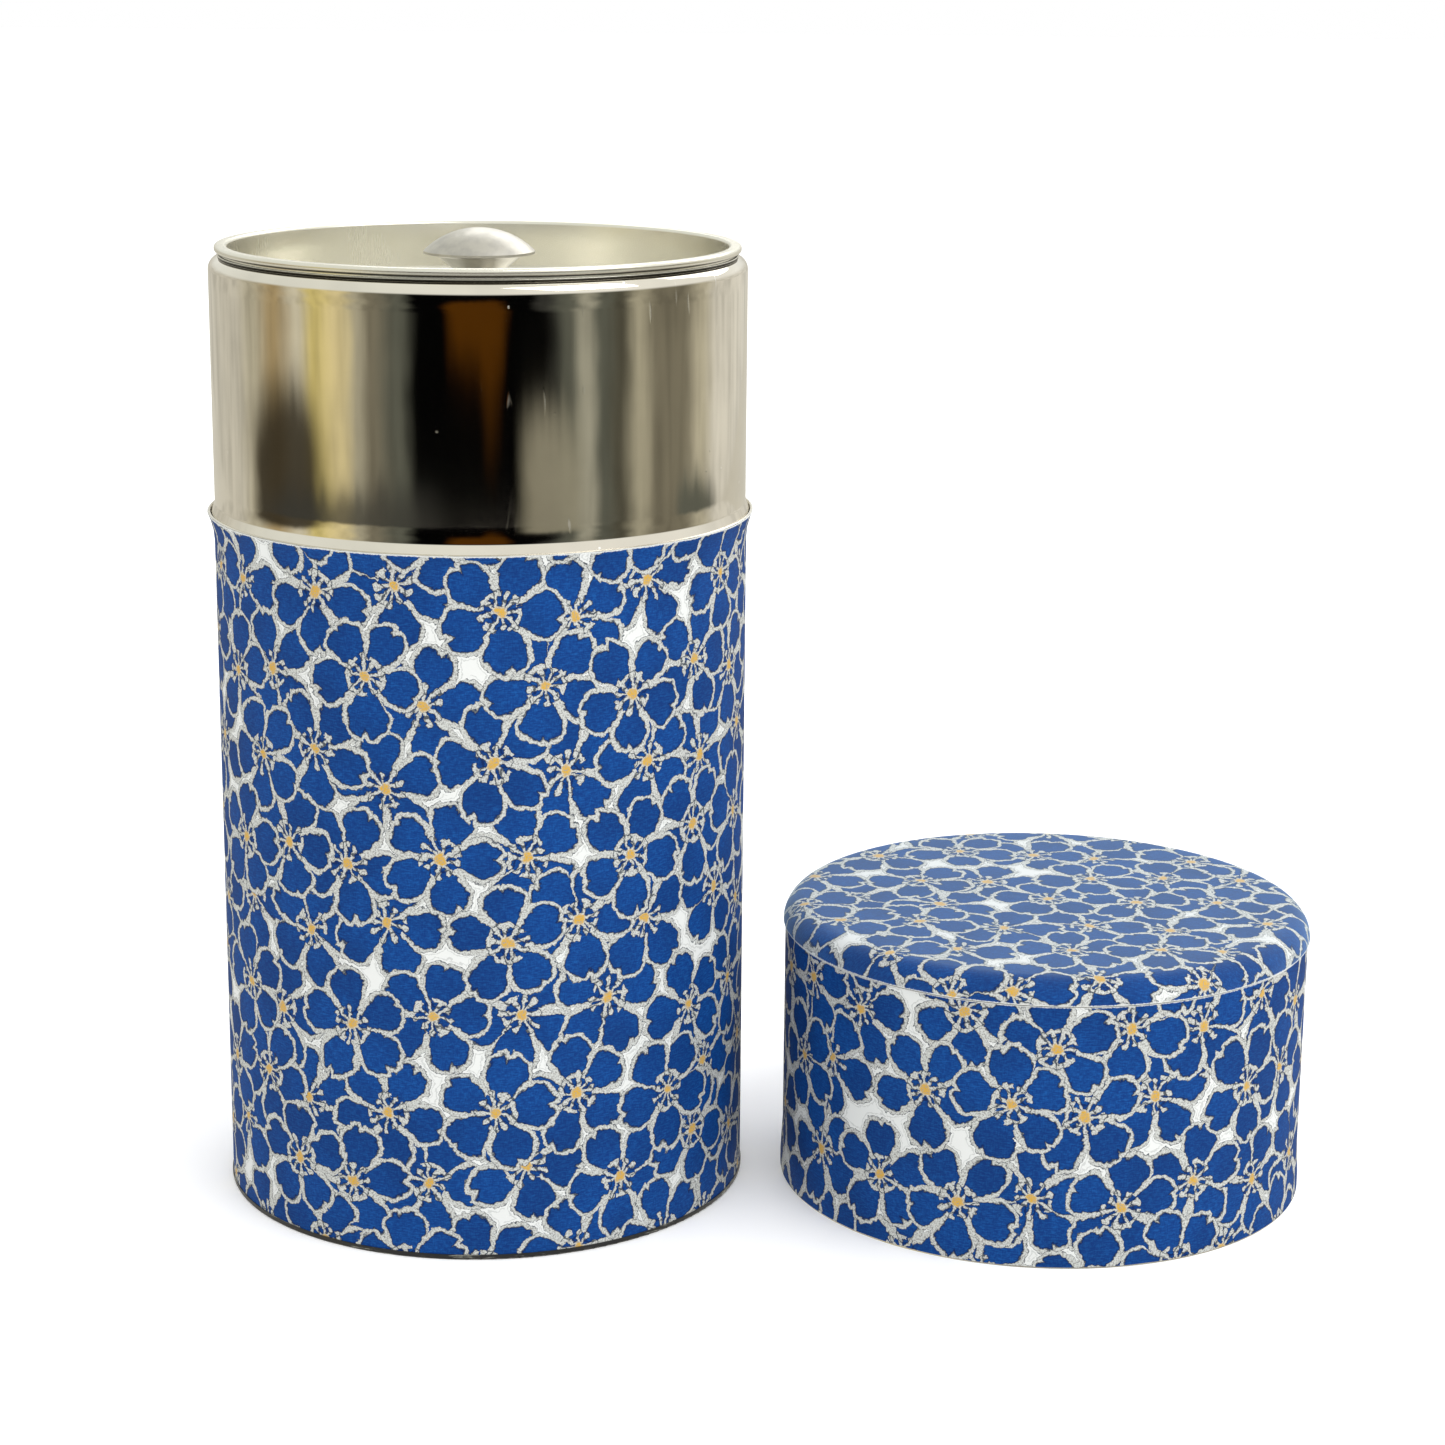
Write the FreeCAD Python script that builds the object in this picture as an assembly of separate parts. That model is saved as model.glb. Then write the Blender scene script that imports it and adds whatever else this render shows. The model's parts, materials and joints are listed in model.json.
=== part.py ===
"""A round tinplate caddy covered in printed paper: tin, push-in inner lid and pull-off cap.

The tin stands on its base at the origin, with +Z up. The inner lid is in the tin's mouth.
The cap is off, and stands mouth down on the same surface on the tin's +X side.
Every sheet-metal piece is a section drawn in (radius, height) and turned about its own axis.
"""
import FreeCAD, Part
import os
from math import atan2, hypot, sin, sqrt, tan

# ---- Driving dimensions, mm ------------------------------------------------------------

sheet = 0.28                # tinplate thickness
paper = 0.16                # paper thickness

# tin
body_diameter = 80.0        # over the paper
lip_height = 105.2          # base to the raw edge of the can's flared lip
lip_flare = 1.0             # how far the lip leans out
lip_flare_height = 2.6      # height of the leaning part
lip_bend = 10.0             # bend radius into the flare
seam_width = 5.0            # lapped side seam and paper overlap

# base
base_recess = 2.2           # panel above the surface the tin stands on
base_bend = 0.6             # bend radius at the panel's rim
hem_height = 0.8            # crimped rim that shows below the paper

# collar
collar_stand = 37.6         # top of the collar's shoulder above the lip
collar_insert = 14.0        # depth of the collar inside the can, below the lip
collar_swell = 0.29         # the neck is this much larger in radius than the insert
collar_nest_gap = 0.08      # between the collar's bead and the can's flare
stop_bead_drop = 0.15       # nose of the stop bead below the lip's edge
stop_bead_rise = 2.1        # nose of the stop bead to the straight neck
stop_bead_round = 0.33      # radius of the bead's nose
neck_bend = 2.0             # radius from the bead into the straight neck
shoulder_bend = 1.8         # radius of the collar's top shoulder
shoulder_width = 2.45       # neck to mouth
mouth_bend = 0.5            # radius of the turn down into the mouth
mouth_depth = 3.6           # height of the turned-down mouth

# inner lid
lid_mouth_gap = 0.08        # radial clearance of the lid's plug in the mouth
lid_seat_gap = 0.03         # the lid's hem above the collar's shoulder
dish_depth = 9.9            # bead's top to the dish's floor
dish_bend = 3.0             # radius round the dish's floor
bead_width = 1.86           # curled rim, seen from above
bead_height = 1.1
bead_round = 0.5
hem_width = 1.1             # raw edge of the curl, which sits on the shoulder
hem_thickness = 0.3
hem_round = 0.12
hem_groove = 0.35           # between the curl and its raw edge
curl_groove_depth = 0.95    # how far that groove goes in from the curl's outside

# knob and its rivet
knob_diameter = 16.5
knob_height = 12.1          # above the dish's floor
knob_dome = 3.4             # height of the domed top
knob_rim = 0.35             # thickness of the rim's edge
knob_cone_diameter = 12.6   # top of the cone under the rim
knob_cone_height = 2.4
knob_neck_diameter = 6.8
knob_foot_diameter = 9.0
knob_foot_height = 3.0
knob_rim_bend = 0.8         # radius under the rim
knob_neck_bend = 2.5        # radius at each end of the neck
rivet_diameter = 3.0
rivet_depth = 6.0           # shank inside the knob
rivet_head_diameter = 6.4
rivet_head_height = 0.9
rivet_head_round = 0.7

# cap
cap_clearance = 0.10        # radial, between the cap's bore and the collar's neck
cap_headroom = 1.8          # above the knob when the cap is on
cap_flare = 0.30            # the cap's mouth is this much larger in radius
cap_flare_straight = 2.2    # height of the enlarged part
cap_flare_height = 7.5      # where the enlargement ends
cap_flare_bend = 8.0
cap_shoulder = 3.5          # rounded edge of the top plate
cap_rim_width = 3.0         # the wall's top edge turned in under the plate, past its bend
cap_glue_gap = 0.12         # the wall's bend is rounder than the plate's by this
cap_seam_gap = 0.22         # bare metal between the top plate's edge and the side paper
cap_paper_margin = 0.25     # bare metal below the cap's side paper
cap_overlap_margin = 2.0    # the side paper's overlap is doubled from this far above the flare
cap_stand_gap = 5.4         # between the tin's lip and the cap beside it
cap_set_forward = 0.8       # the cap stands this much further forward than the tin

# ---- Sizes worked out from them --------------------------------------------------------

can_radius = body_diameter / 2 - paper
can_bore = can_radius - sheet
lean = atan2(lip_flare, lip_flare_height)

neck_radius = can_bore + collar_swell
collar_top = lip_height + collar_stand
mouth_radius = neck_radius - shoulder_width

plug_radius = mouth_radius - lid_mouth_gap
dish_radius = plug_radius - sheet
hem_bottom = collar_top + lid_seat_gap
bead_bottom = hem_bottom + hem_thickness + hem_groove
bead_top = bead_bottom + bead_height
bead_radius = dish_radius + bead_width
dish_floor = bead_top - dish_depth
knob_top = dish_floor + knob_height

cap_bore = neck_radius + cap_clearance
cap_radius = cap_bore + sheet
cap_inside = max(knob_top, bead_top) - lip_height + cap_headroom
cap_height = cap_inside + 2 * sheet
cap_x = (can_radius + lip_flare + paper) + cap_stand_gap + (cap_radius + cap_flare + paper)
cap_y = -cap_set_forward


# ---- Section drawing -------------------------------------------------------------------

def unit(a, b):
    """The direction from point a to point b, as (radius, height)."""
    dr, dz = b[0] - a[0], b[1] - a[1]
    length = hypot(dr, dz)
    return dr / length, dz / length


def turn(d0, d1):
    """The signed angle from direction d0 to d1: positive turns left."""
    return atan2(d0[0] * d1[1] - d0[1] * d1[0], d0[0] * d1[0] + d0[1] * d1[1])


def shifted(path, distance):
    """The path moved to its right by distance, its bends kept concentric."""
    moved = []
    last = len(path) - 1
    for i, (r, z, bend) in enumerate(path):
        d0 = unit(path[i - 1], path[i]) if i > 0 else unit(path[0], path[1])
        d1 = unit(path[i], path[i + 1]) if i < last else d0
        angle = turn(d0, d1)
        right0 = (d0[1], -d0[0])
        right1 = (d1[1], -d1[0])
        scale = distance / (1 + right0[0] * right1[0] + right0[1] * right1[1])
        grown = bend + distance if angle > 0 else bend - distance
        new_bend = max(grown, 0.0) if bend > 0 else 0.0
        moved.append((r + (right0[0] + right1[0]) * scale,
                      z + (right0[1] + right1[1]) * scale, new_bend))
    return moved


def edges_along(path):
    """Straight and round edges through the path's points, each rounded by its bend."""
    def at(p):
        return FreeCAD.Vector(p[0], 0, p[1])

    edges = []
    start = path[0]
    for i in range(1, len(path)):
        corner = path[i]
        if i < len(path) - 1 and corner[2] > 1e-6:
            d0, d1 = unit(path[i - 1], corner), unit(corner, path[i + 1])
            half = abs(turn(d0, d1)) / 2
            back = corner[2] * tan(half)
            enter = (corner[0] - d0[0] * back, corner[1] - d0[1] * back)
            leave = (corner[0] + d1[0] * back, corner[1] + d1[1] * back)
            inward = unit(corner, ((enter[0] + leave[0]) / 2, (enter[1] + leave[1]) / 2))
            reach = corner[2] * (sqrt(1 + tan(half) ** 2) - 1)
            middle = (corner[0] + inward[0] * reach, corner[1] + inward[1] * reach)
            if hypot(enter[0] - start[0], enter[1] - start[1]) > 1e-6:
                edges.append(Part.LineSegment(at(start), at(enter)).toShape())
            edges.append(Part.Arc(at(enter), at(middle), at(leave)).toShape())
            start = leave
        else:
            edges.append(Part.LineSegment(at(start), at(corner)).toShape())
            start = corner
    return edges


def turned(edges):
    """A solid of revolution about Z from the closed section that the edges make."""
    face = Part.Face(Part.Wire(Part.__sortEdges__(edges)))
    solid = face.revolve(FreeCAD.Vector(0, 0, 0), FreeCAD.Vector(0, 0, 1), 360)
    return solid.Solids[0] if solid.Solids else Part.makeSolid(solid)


def pressed(path, thickness):
    """Turned sheet whose visible side is the path, with the thickness on its left."""
    hidden = shifted(path, -thickness)

    def at(p):
        return FreeCAD.Vector(p[0], 0, p[1])

    edges = edges_along(path) + edges_along(hidden)
    edges.append(Part.LineSegment(at(path[0]), at(hidden[0])).toShape())
    edges.append(Part.LineSegment(at(path[-1]), at(hidden[-1])).toShape())
    return turned(edges)


def closed_section(points):
    """Turned solid from a closed outline of (radius, height, bend) points."""
    return turned(edges_along(list(points) + [points[0]]))


def lap(inner_radius, thickness, bottom, top):
    """The doubled strip of a lapped seam, along the back (+Y) of a cylinder."""
    foot = FreeCAD.Vector(0, 0, bottom)
    ring = Part.makeCylinder(inner_radius + thickness, top - bottom, foot)
    ring = ring.cut(Part.makeCylinder(inner_radius, top - bottom, foot))
    back_half = Part.makeBox(seam_width, inner_radius + thickness, top - bottom,
                             FreeCAD.Vector(-seam_width / 2, 0, bottom))
    return ring.common(back_half)


def joined(a, b):
    """One solid from two that share a face."""
    return a.fuse(b).removeSplitter().Solids[0]


# ---- Tin -------------------------------------------------------------------------------

def can_path(bottom):
    """The can's outer side, from the given height up to the lip."""
    return [(can_radius, bottom, 0),
            (can_radius, lip_height - lip_flare_height, lip_bend),
            (can_radius + lip_flare, lip_height, 0)]


def body_can():
    wall = pressed(can_path(sheet), sheet)
    seam_bottom = base_recess + 2 * sheet
    seam_top = lip_height - collar_insert - 2 * sheet
    return joined(wall, lap(can_bore - sheet, sheet, seam_bottom, seam_top))


def base_plate():
    channel = can_bore - sheet
    rim = can_radius + sheet
    return pressed([(0, base_recess, 0), (channel, base_recess, base_bend),
                    (channel, 0, sheet), (rim, 0, sheet), (rim, hem_height, 0)], sheet)


def body_paper():
    path = shifted(can_path(hem_height), paper)
    sleeve = pressed(path, paper)
    straight_top = lip_height - lip_flare_height - lip_bend * tan(lean / 2)
    overlap = lap(body_diameter / 2, paper, hem_height, straight_top)
    return joined(sleeve, overlap)


def collar_sleeve():
    # the insert follows the can's bore, then leans out beside the flare, a gap inside it
    corner = lip_height - lip_flare_height + sheet * tan(lean / 2) + collar_nest_gap / sin(lean)
    nose = lip_height - stop_bead_drop
    nose_radius = can_bore + (nose - corner) * tan(lean)
    return pressed([(can_bore, lip_height - collar_insert, 0),
                    (can_bore, corner, lip_bend + sheet),
                    (nose_radius, nose, stop_bead_round),
                    (neck_radius, nose + stop_bead_rise, neck_bend),
                    (neck_radius, collar_top, shoulder_bend),
                    (mouth_radius, collar_top, mouth_bend),
                    (mouth_radius, collar_top - mouth_depth, 0)], sheet)


# ---- Inner lid -------------------------------------------------------------------------

def inner_lid_dish():
    hole = rivet_diameter / 2
    groove = bead_radius - curl_groove_depth
    hem_radius = plug_radius + hem_width
    return closed_section([
        (hole, dish_floor - sheet, 0), (hole, dish_floor, 0),
        (dish_radius, dish_floor, dish_bend), (dish_radius, bead_top, bead_round),
        (bead_radius, bead_top, bead_round), (bead_radius, bead_bottom, bead_round),
        (groove, bead_bottom, 0), (groove, bead_bottom - hem_groove, 0),
        (hem_radius, bead_bottom - hem_groove, hem_round), (hem_radius, hem_bottom, hem_round),
        (plug_radius, hem_bottom, 0), (plug_radius, dish_floor - sheet, dish_bend + sheet)])


def knob():
    rim_radius = knob_diameter / 2
    rim_top = knob_top - knob_dome
    rim_bottom = rim_top - knob_rim
    cone_top = rim_bottom - knob_rim
    neck = knob_neck_diameter / 2
    hole = rivet_diameter / 2
    dome_radius = (rim_radius ** 2 + knob_dome ** 2) / (2 * knob_dome)
    halfway = rim_radius / 2
    halfway_height = knob_top - dome_radius + sqrt(dome_radius ** 2 - halfway ** 2)
    side = [(rim_radius, rim_top, 0), (rim_radius, rim_bottom, 0),
            (knob_cone_diameter / 2, cone_top, knob_rim_bend),
            (neck, cone_top - knob_cone_height, knob_neck_bend),
            (neck, dish_floor + knob_foot_height, knob_neck_bend),
            (knob_foot_diameter / 2, dish_floor, 0),
            (hole, dish_floor, 0), (hole, dish_floor + rivet_depth, 0),
            (0, dish_floor + rivet_depth, 0), (0, knob_top, 0)]
    dome = Part.Arc(FreeCAD.Vector(0, 0, knob_top),
                    FreeCAD.Vector(halfway, 0, halfway_height),
                    FreeCAD.Vector(rim_radius, 0, rim_top)).toShape()
    return turned(edges_along(side) + [dome])


def knob_rivet():
    shank = rivet_diameter / 2
    head = rivet_head_diameter / 2
    under = dish_floor - sheet
    return closed_section([(0, under - rivet_head_height, 0),
                           (head, under - rivet_head_height, rivet_head_round),
                           (head, under, 0), (shank, under, 0),
                           (shank, dish_floor + rivet_depth, 0),
                           (0, dish_floor + rivet_depth, 0)])


# ---- Cap -------------------------------------------------------------------------------

def cap_side_path(bottom):
    """The cap wall's outer side below the top plate, from the given height up."""
    return [(cap_radius + cap_flare, bottom, 0),
            (cap_radius + cap_flare, cap_flare_straight, cap_flare_bend),
            (cap_radius, cap_flare_height, cap_flare_bend)]


def cap_seam():
    """Height of the top plate's edge, just above the side paper."""
    return cap_height - cap_shoulder


def cap_ring():
    turned_in = cap_height - sheet
    bend = cap_shoulder - sheet + cap_glue_gap
    return pressed(cap_side_path(0) + [(cap_radius, turned_in, bend),
                                       (cap_radius - bend - cap_rim_width, turned_in, 0)], sheet)


def cap_top_path():
    """The top plate's outer side, from its edge up over the shoulder to the middle."""
    outside = cap_radius + sheet
    return [(outside, cap_seam(), 0), (outside, cap_height, cap_shoulder), (0, cap_height, 0)]


def cap_top_plate():
    return pressed(cap_top_path(), sheet)


def cap_side_paper():
    top = cap_seam() - cap_seam_gap
    path = cap_side_path(cap_paper_margin) + [(cap_radius, top, 0)]
    sleeve = pressed(shifted(path, paper), paper)
    overlap = lap(cap_radius + paper, paper, cap_flare_height + cap_overlap_margin, top)
    return joined(sleeve, overlap)


def cap_top_paper():
    return pressed(shifted(cap_top_path(), paper), paper)


# ---- Output ----------------------------------------------------------------------------

def main():
    os.makedirs("parts", exist_ok=True)
    beside = FreeCAD.Vector(cap_x, cap_y, 0)
    in_place = [body_can, base_plate, body_paper, collar_sleeve, inner_lid_dish, knob, knob_rivet]
    moved_aside = [cap_ring, cap_top_plate, cap_side_paper, cap_top_paper]
    for make in in_place + moved_aside:
        shape = make()
        if make in moved_aside:
            shape.translate(beside)
        shape.exportStep("parts/" + make.__name__ + ".step")
        box = shape.BoundBox
        print(f"{make.__name__:16s} valid {shape.isValid()} solids {len(shape.Solids)} "
              f"volume {shape.Volume:9.2f} x {box.XMin:.2f}..{box.XMax:.2f} "
              f"y {box.YMin:.2f}..{box.YMax:.2f} z {box.ZMin:.2f}..{box.ZMax:.2f}")
    print(f"closed height {lip_height + cap_height + paper:.2f}, cap height {cap_height + paper:.2f}, "
          f"cap at x {cap_x:.2f}, dish floor {dish_floor:.2f}, bead top {bead_top:.2f}")


main()
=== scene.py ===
"""The looks of the paper-covered caddy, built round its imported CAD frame.

The tin is made of turned sections, so each visible piece here is one too: a section drawn in
(radius, height), swept round its axis, with the small irregularities of pressed tinplate and
glued paper. The blossom print, the metals and their wear are node materials.
Lengths are in metres unless a name or comment says mm.
"""
import json
from math import atan2, cos, hypot, pi, radians, sin, tan

import bpy
from mathutils import Matrix, Vector, noise


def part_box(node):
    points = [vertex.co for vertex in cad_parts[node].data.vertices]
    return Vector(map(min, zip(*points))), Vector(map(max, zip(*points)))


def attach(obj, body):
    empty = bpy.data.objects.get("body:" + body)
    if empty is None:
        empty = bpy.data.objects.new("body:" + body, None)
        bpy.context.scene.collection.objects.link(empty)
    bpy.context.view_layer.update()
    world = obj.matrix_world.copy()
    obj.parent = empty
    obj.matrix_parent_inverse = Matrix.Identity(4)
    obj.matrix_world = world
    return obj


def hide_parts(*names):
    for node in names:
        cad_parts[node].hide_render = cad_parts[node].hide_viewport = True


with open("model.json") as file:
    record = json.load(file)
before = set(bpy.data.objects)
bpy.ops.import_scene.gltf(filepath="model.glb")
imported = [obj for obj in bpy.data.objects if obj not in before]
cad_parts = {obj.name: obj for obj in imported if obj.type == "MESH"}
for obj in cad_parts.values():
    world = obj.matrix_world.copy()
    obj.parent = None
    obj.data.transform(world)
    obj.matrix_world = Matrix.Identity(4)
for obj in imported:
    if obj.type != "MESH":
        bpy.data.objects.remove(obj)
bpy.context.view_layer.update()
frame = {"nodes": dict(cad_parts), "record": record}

MM = 0.001
BACK = pi / 2                # direction of the seams, seen from above

# ---- Sizes taken from the frame ----------------------------------------------------------


def radius_of(node):
    low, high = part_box(node)
    return (high.x - low.x) / 2


def heights_of(node):
    low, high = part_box(node)
    return low.z, high.z


mounts = {m["name"]: m for m in frame["record"]["mounts"]}
TIN_AXIS = (0.0, 0.0)
CAP_AXIS = tuple(mounts["cap_mouth"]["pos_m"][:2])
neck_radius = mounts["collar_neck"]["dims"]["r_mm"] * MM
cap_bore = mounts["cap_mouth"]["dims"]["r_mm"] * MM

lip_paper_radius = radius_of("body_paper")
paper_bottom, lip_height = heights_of("body_paper")
nose_radius = radius_of("collar_sleeve")
collar_bottom, collar_top = heights_of("collar_sleeve")
bead_radius = radius_of("inner_lid_dish")
dish_bottom, bead_top = heights_of("inner_lid_dish")
knob_radius = radius_of("knob")
dish_floor, knob_top = heights_of("knob")
cap_mouth_radius = radius_of("cap_ring")
cap_paper_bottom, cap_paper_top = heights_of("cap_side_paper")
cap_top_radius = radius_of("cap_top_paper")
cap_seam, cap_top = heights_of("cap_top_paper")

# ---- Small sizes that go with them --------------------------------------------------------

sheet = 0.28 * MM
paper = 0.16 * MM
lip_flare = 1.0 * MM
lip_flare_height = 2.6 * MM
lip_bend = 10 * MM
neck_step = 0.29 * MM        # the sleeve is narrower where it sits inside the can
stop_bead_drop = 0.15 * MM
stop_bead_rise = 1.45 * MM
stop_bead_round = 0.33 * MM
neck_bend = 0.9 * MM
shoulder_bend = 1.8 * MM
mouth_bend = 0.5 * MM
mouth_depth = 3.6 * MM
shoulder_width = 2.45 * MM
lid_mouth_gap = 0.08 * MM
lid_seat_gap = 0.03 * MM
dish_bend = 3.0 * MM
bead_width = 1.86 * MM
bead_height = 1.1 * MM
bead_round = 0.5 * MM
hem_width = 1.1 * MM
hem_round = 0.12 * MM
hem_groove = 0.35 * MM
curl_groove_depth = 0.95 * MM
knob_dome = 3.4 * MM
knob_rim = 0.35 * MM
knob_cone_radius = 6.3 * MM
knob_cone_height = 2.4 * MM
knob_neck_radius = 3.4 * MM
knob_foot_radius = 4.5 * MM
knob_foot_height = 3.0 * MM
knob_rim_bend = 0.8 * MM
knob_neck_bend = 2.5 * MM
rivet_radius = 1.5 * MM
cap_flare_straight = 2.2 * MM
cap_flare_height = 7.5 * MM
cap_flare_bend = 8 * MM
cap_shoulder = 3.5 * MM
overlap_width = 5 * MM
overlap_run_out = 1.2 * MM
ragged_band = 1.2 * MM       # a cut edge is uneven within this of it
ragged_depth = 0.16 * MM
cap_ragged_band = 1.0 * MM
cap_ragged_depth = 0.10 * MM
paper_ripple = 0.015 * MM
NICKED_SIDE = 5.4            # direction of the nicks in the inner lid's bead, in radians
dome_pit_radius = 0.5 * MM
dome_pit_depth = 0.10 * MM
dome_pit_place = (-2.6 * MM, -3.2 * MM)

AROUND = 288                 # stations round a piece
AROUND_KNOB = 160
DOME_STEPS = 24
LONGEST_STEP = 3 * MM        # between a section's points
NO_BEND = 1e-6
NO_TURN = 1e-3
SAME_POINT = 2e-6

can_radius = lip_paper_radius - paper - lip_flare
can_bore = neck_radius - neck_step
mouth_radius = neck_radius - shoulder_width
plug_radius = mouth_radius - lid_mouth_gap
dish_radius = plug_radius - sheet
cap_radius = cap_bore + sheet


# ---- Sections ------------------------------------------------------------------------------

def unit(a, b):
    """The direction from point a to point b, as (radius, height)."""
    length = hypot(b[0] - a[0], b[1] - a[1])
    return (b[0] - a[0]) / length, (b[1] - a[1]) / length


def turn(d0, d1):
    """The signed angle from direction d0 to d1: positive turns left."""
    return atan2(d0[0] * d1[1] - d0[1] * d1[0], d0[0] * d1[0] + d0[1] * d1[1])


def shifted(path, distance):
    """The path of (radius, height, bend) moved to its right, its bends kept concentric."""
    moved = []
    last = len(path) - 1
    for i, (r, z, bend) in enumerate(path):
        d0 = unit(path[i - 1], path[i]) if i > 0 else unit(path[0], path[1])
        d1 = unit(path[i], path[i + 1]) if i < last else d0
        right0, right1 = (d0[1], -d0[0]), (d1[1], -d1[0])
        scale = distance / (1 + right0[0] * right1[0] + right0[1] * right1[1])
        grown = bend + distance if turn(d0, d1) > 0 else bend - distance
        moved.append((r + (right0[0] + right1[0]) * scale,
                      z + (right0[1] + right1[1]) * scale, max(grown, 0) if bend > 0 else 0))
    return moved


def rounded(path, arc_step=radians(9)):
    """(radius, height) points along the path, with each corner rounded by its bend."""
    points = [path[0][:2]]
    for before, corner, after in zip(path, path[1:], path[2:]):
        d0, d1 = unit(before, corner), unit(corner, after)
        angle = turn(d0, d1)
        if corner[2] < NO_BEND or abs(angle) < NO_TURN:
            points.append(corner[:2])
            continue
        side = 1 if angle > 0 else -1
        back = corner[2] * tan(abs(angle) / 2)
        centre = (corner[0] - d0[0] * back - d0[1] * side * corner[2],
                  corner[1] - d0[1] * back + d0[0] * side * corner[2])
        first = atan2(-d0[0] * side, d0[1] * side)
        steps = max(2, round(abs(angle) / arc_step))
        for i in range(steps + 1):
            a = first + angle * i / steps
            points.append((centre[0] + corner[2] * cos(a), centre[1] + corner[2] * sin(a)))
    points.append(path[-1][:2])
    return tidy(points)


def tidy(points):
    """The points without any that repeat."""
    kept = [points[0]]
    for p in points[1:]:
        if hypot(p[0] - kept[-1][0], p[1] - kept[-1][1]) > SAME_POINT:
            kept.append(p)
    return kept


def subdivided(points, longest):
    """The points with more added on long straight stretches."""
    out = [points[0]]
    for a, b in zip(points, points[1:]):
        pieces = max(1, round(hypot(b[0] - a[0], b[1] - a[1]) / longest))
        out += [(a[0] + (b[0] - a[0]) * i / pieces, a[1] + (b[1] - a[1]) * i / pieces)
                for i in range(1, pieces + 1)]
    return out


def pressed(path, thickness, longest=LONGEST_STEP):
    """(visible side, hidden side) of sheet with its thickness on the path's left."""
    return (subdivided(rounded(path), longest),
            subdivided(rounded(shifted(path, -thickness)), longest))


# ---- Turned meshes ---------------------------------------------------------------------------

ON_AXIS = 1e-6               # a point this near the axis is on it
SHARP_EDGE = radians(32)


def length_along(section):
    return sum(hypot(b[0] - a[0], b[1] - a[1]) for a, b in zip(section, section[1:]))


def stations(count, extra=()):
    """Angles of a full turn that starts at the back, with extra ones beside the seam."""
    even = [BACK + 2 * pi * i / count for i in range(count + 1)]
    return sorted(even + [BACK + e for e in extra])


def swept_faces(ring, turns, index):
    """(corners' vertices, corners' places) of each face: a place is (station, point of ring)."""
    count = len(ring)
    clockwise = sum(a[0] * b[1] - b[0] * a[1] for a, b in zip(ring, ring[1:] + ring[:1])) < 0
    faces, places = [], []
    for j in range(count):
        if ring[j][0] < ON_AXIS and ring[(j + 1) % count][0] < ON_AXIS:
            continue
        for i in range(turns):
            quad = [(i, j), (i + 1, j), (i + 1, j + 1), (i, j + 1)]
            if clockwise:
                quad.reverse()
            corners = {}
            for a, b in quad:
                corners.setdefault(index[a % turns, b % count], (a, b))
            if len(corners) > 2:
                faces.append(list(corners))
                places.append((i, j, list(corners.values())))
    return faces, places


def lay_sheet(mesh, places, angles, along, visible_count, laid):
    """The print's UV map and the baked picture's, for a piece of paper."""
    print_map, bake_map = mesh.uv_layers.new(name="sheet"), mesh.uv_layers.new(name="OFBake")
    first, span = angles[0], angles[-1] - angles[0]
    visible_length = along[visible_count - 1]
    for polygon, (i, j, corners) in zip(mesh.polygons, places):
        outside = j < visible_count - 1
        middle = ((angles[i] + angles[i + 1]) / 2 - first) / span
        for loop, (a, b) in zip(polygon.loop_indices, corners):
            distance = along[min(b, len(along) - 1)]
            share = (angles[a] - first) / span
            print_map.data[loop].uv = laid.on_print(angles[a], distance)
            bake_map.data[loop].uv = laid.on_picture(share, middle, distance / visible_length,
                                                     outside)


def turned(name, visible, hidden, axis, angles, warp, laid=None):
    """Sweeps a closed section round the axis: visible points, then the hidden ones back.

    warp(radius, height, angle) gives a point's new (radius, height). laid is the sheet of
    paper that the piece is made of, if it is.
    """
    ring = list(visible) + list(reversed(hidden))
    turns = len(angles) - 1
    verts, index = [], {}
    for j, (r, z) in enumerate(ring):
        for i, angle in enumerate(angles[:-1]):
            if r < ON_AXIS and i > 0:
                index[i, j] = index[0, j]
                continue
            warped_r, warped_z = warp(r, z, angle)
            index[i, j] = len(verts)
            verts.append((axis[0] + warped_r * cos(angle), axis[1] + warped_r * sin(angle),
                          warped_z))
    faces, places = swept_faces(ring, turns, index)
    mesh = bpy.data.meshes.new(name)
    mesh.from_pydata(verts, [], faces)
    mesh.shade_smooth()
    mesh.set_sharp_from_angle(angle=SHARP_EDGE)
    if laid:
        along = [length_along(ring[:j + 1]) for j in range(len(ring))]
        lay_sheet(mesh, places, angles, along, len(visible), laid)
    piece = bpy.data.objects.new(name, mesh)
    bpy.context.scene.collection.objects.link(piece)
    return piece


HALF_STEP, HALF_HEIGHT = 0.485, 0.475      # of a wrapped sheet's halves on the baked picture
INSIDE_STRIP, INSIDE_HEIGHT = 0.98, 0.015
DISC_CENTRE, DISC_REACH = 0.5, 0.49        # of the disc's outside there, and of its inside
INSIDE_CENTRE, INSIDE_REACH = 0.07, 0.06


class WrappedSheet:
    """Paper wrapped round a cylinder: where its points lie on the print, in mm, and on the
    baked picture. Distances along it run up from its lower edge."""

    def __init__(self, radius, section):
        self.radius = radius
        self.height = length_along(section) / MM

    def on_print(self, angle, along):
        return (angle - BACK) * self.radius / MM, along / MM

    def on_picture(self, share, middle, along, outside):
        """The outside's halves lie one above the other, and the inside is a thin strip."""
        if not outside:
            return share, INSIDE_STRIP + INSIDE_HEIGHT * min(abs(along - 1), 1)
        half = 0 if middle < 0.5 else 1
        return share * 2 - half, HALF_STEP * half + HALF_HEIGHT * min(along, 1)

    def from_raw_edge(self, x, y):
        return y * -1 + self.height


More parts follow.
